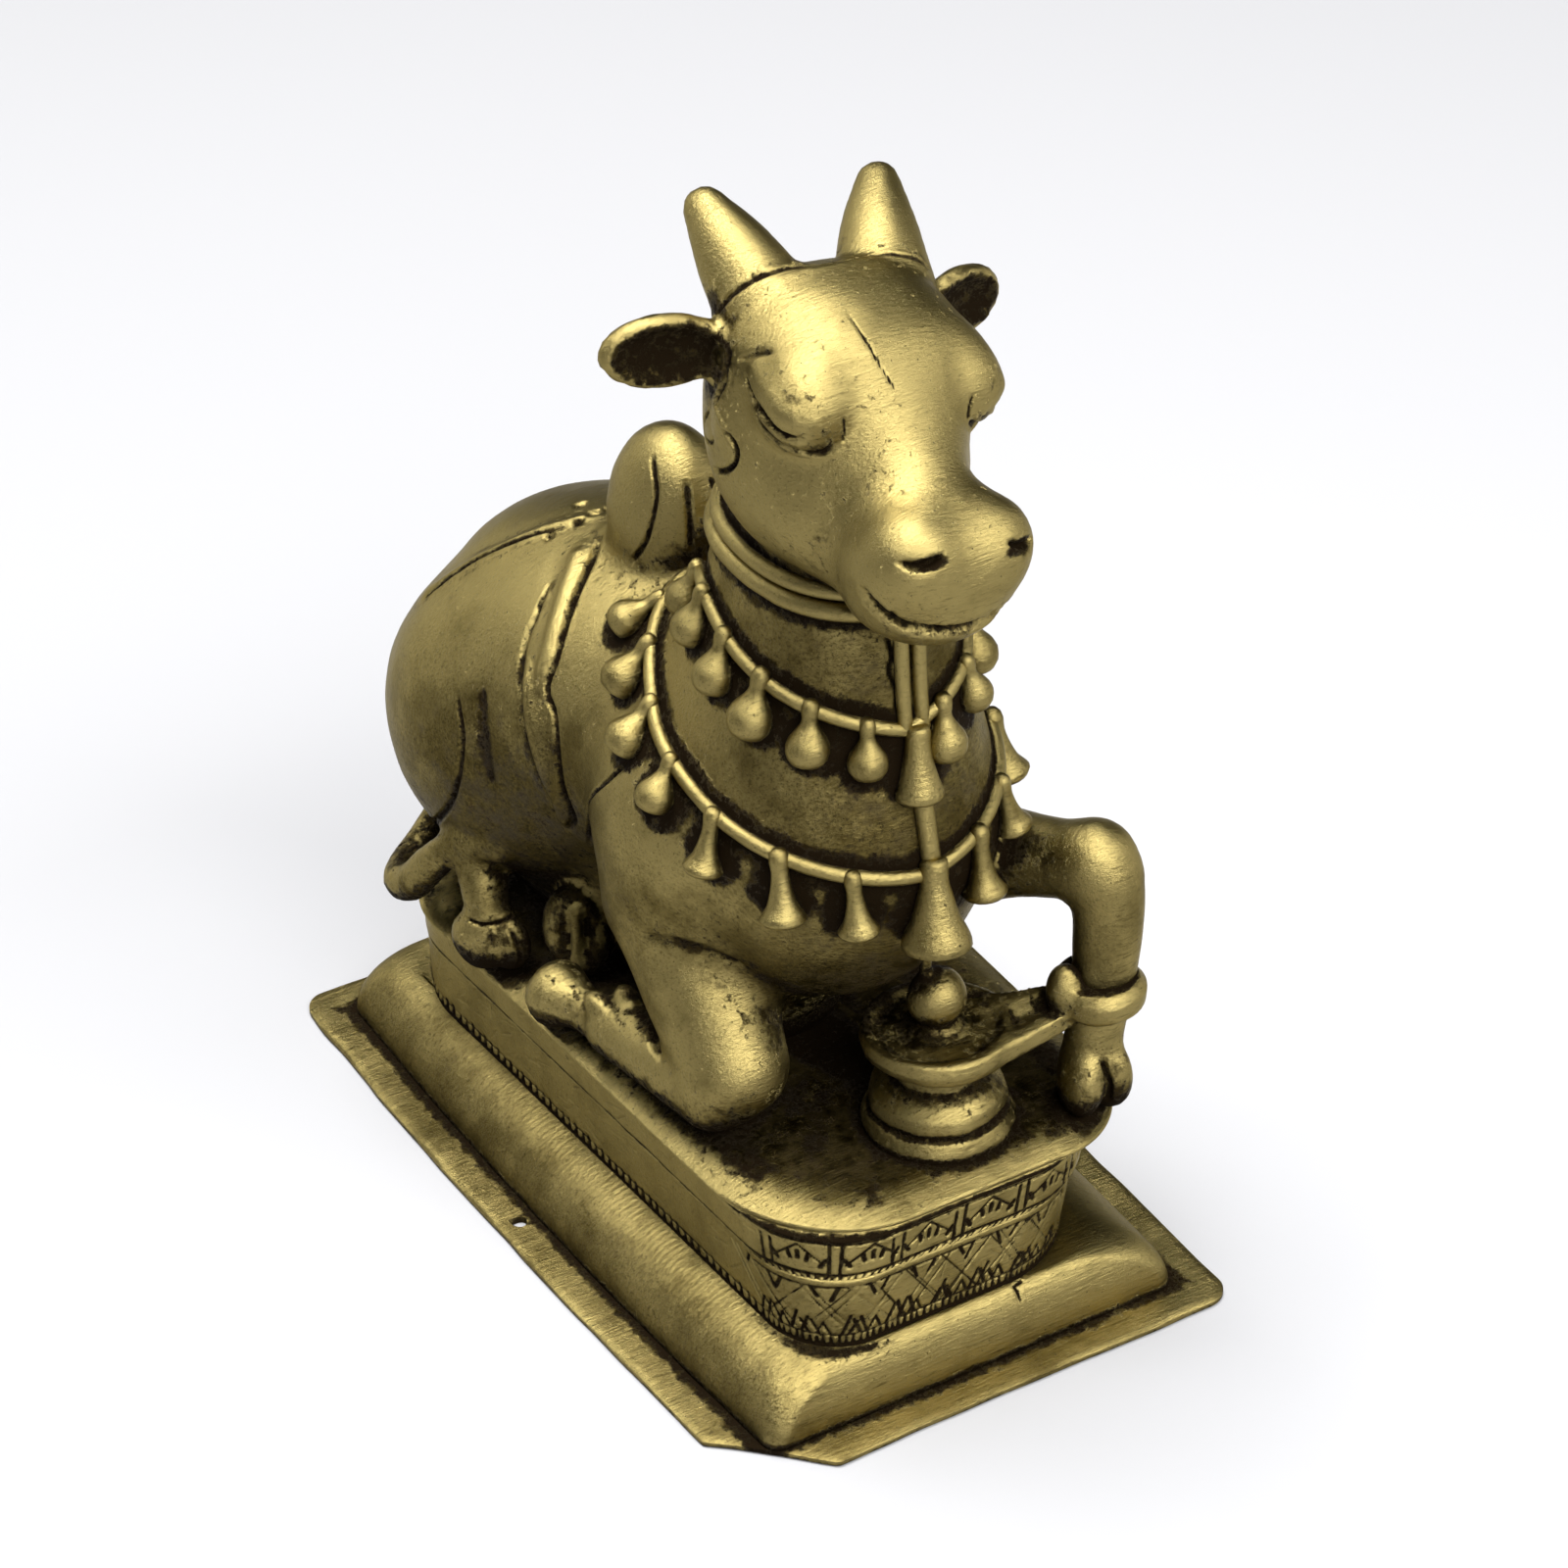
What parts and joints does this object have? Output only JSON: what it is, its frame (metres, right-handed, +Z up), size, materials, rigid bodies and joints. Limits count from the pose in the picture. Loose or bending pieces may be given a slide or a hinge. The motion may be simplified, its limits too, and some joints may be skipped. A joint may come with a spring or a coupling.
{
  "type": "nandi bull figure",
  "caption": "Cast brass Nandi kneeling on a moulded plinth, one foreleg raised beside a small lingam, with garlands of drops and bells.",
  "frame": {"origin": "centre of the flange's underside, on the surface that the figure stands on", "axes": "+Z up, the bull faces -Y, its raised left foreleg is on the +X side"},
  "size_m": [0.076, 0.125, 0.1533],
  "materials": {
    "cast_brass": "satin"
  },
  "bodies": {
    "root": {"nandi_bull": "cast_brass"}
  },
  "joints": []
}
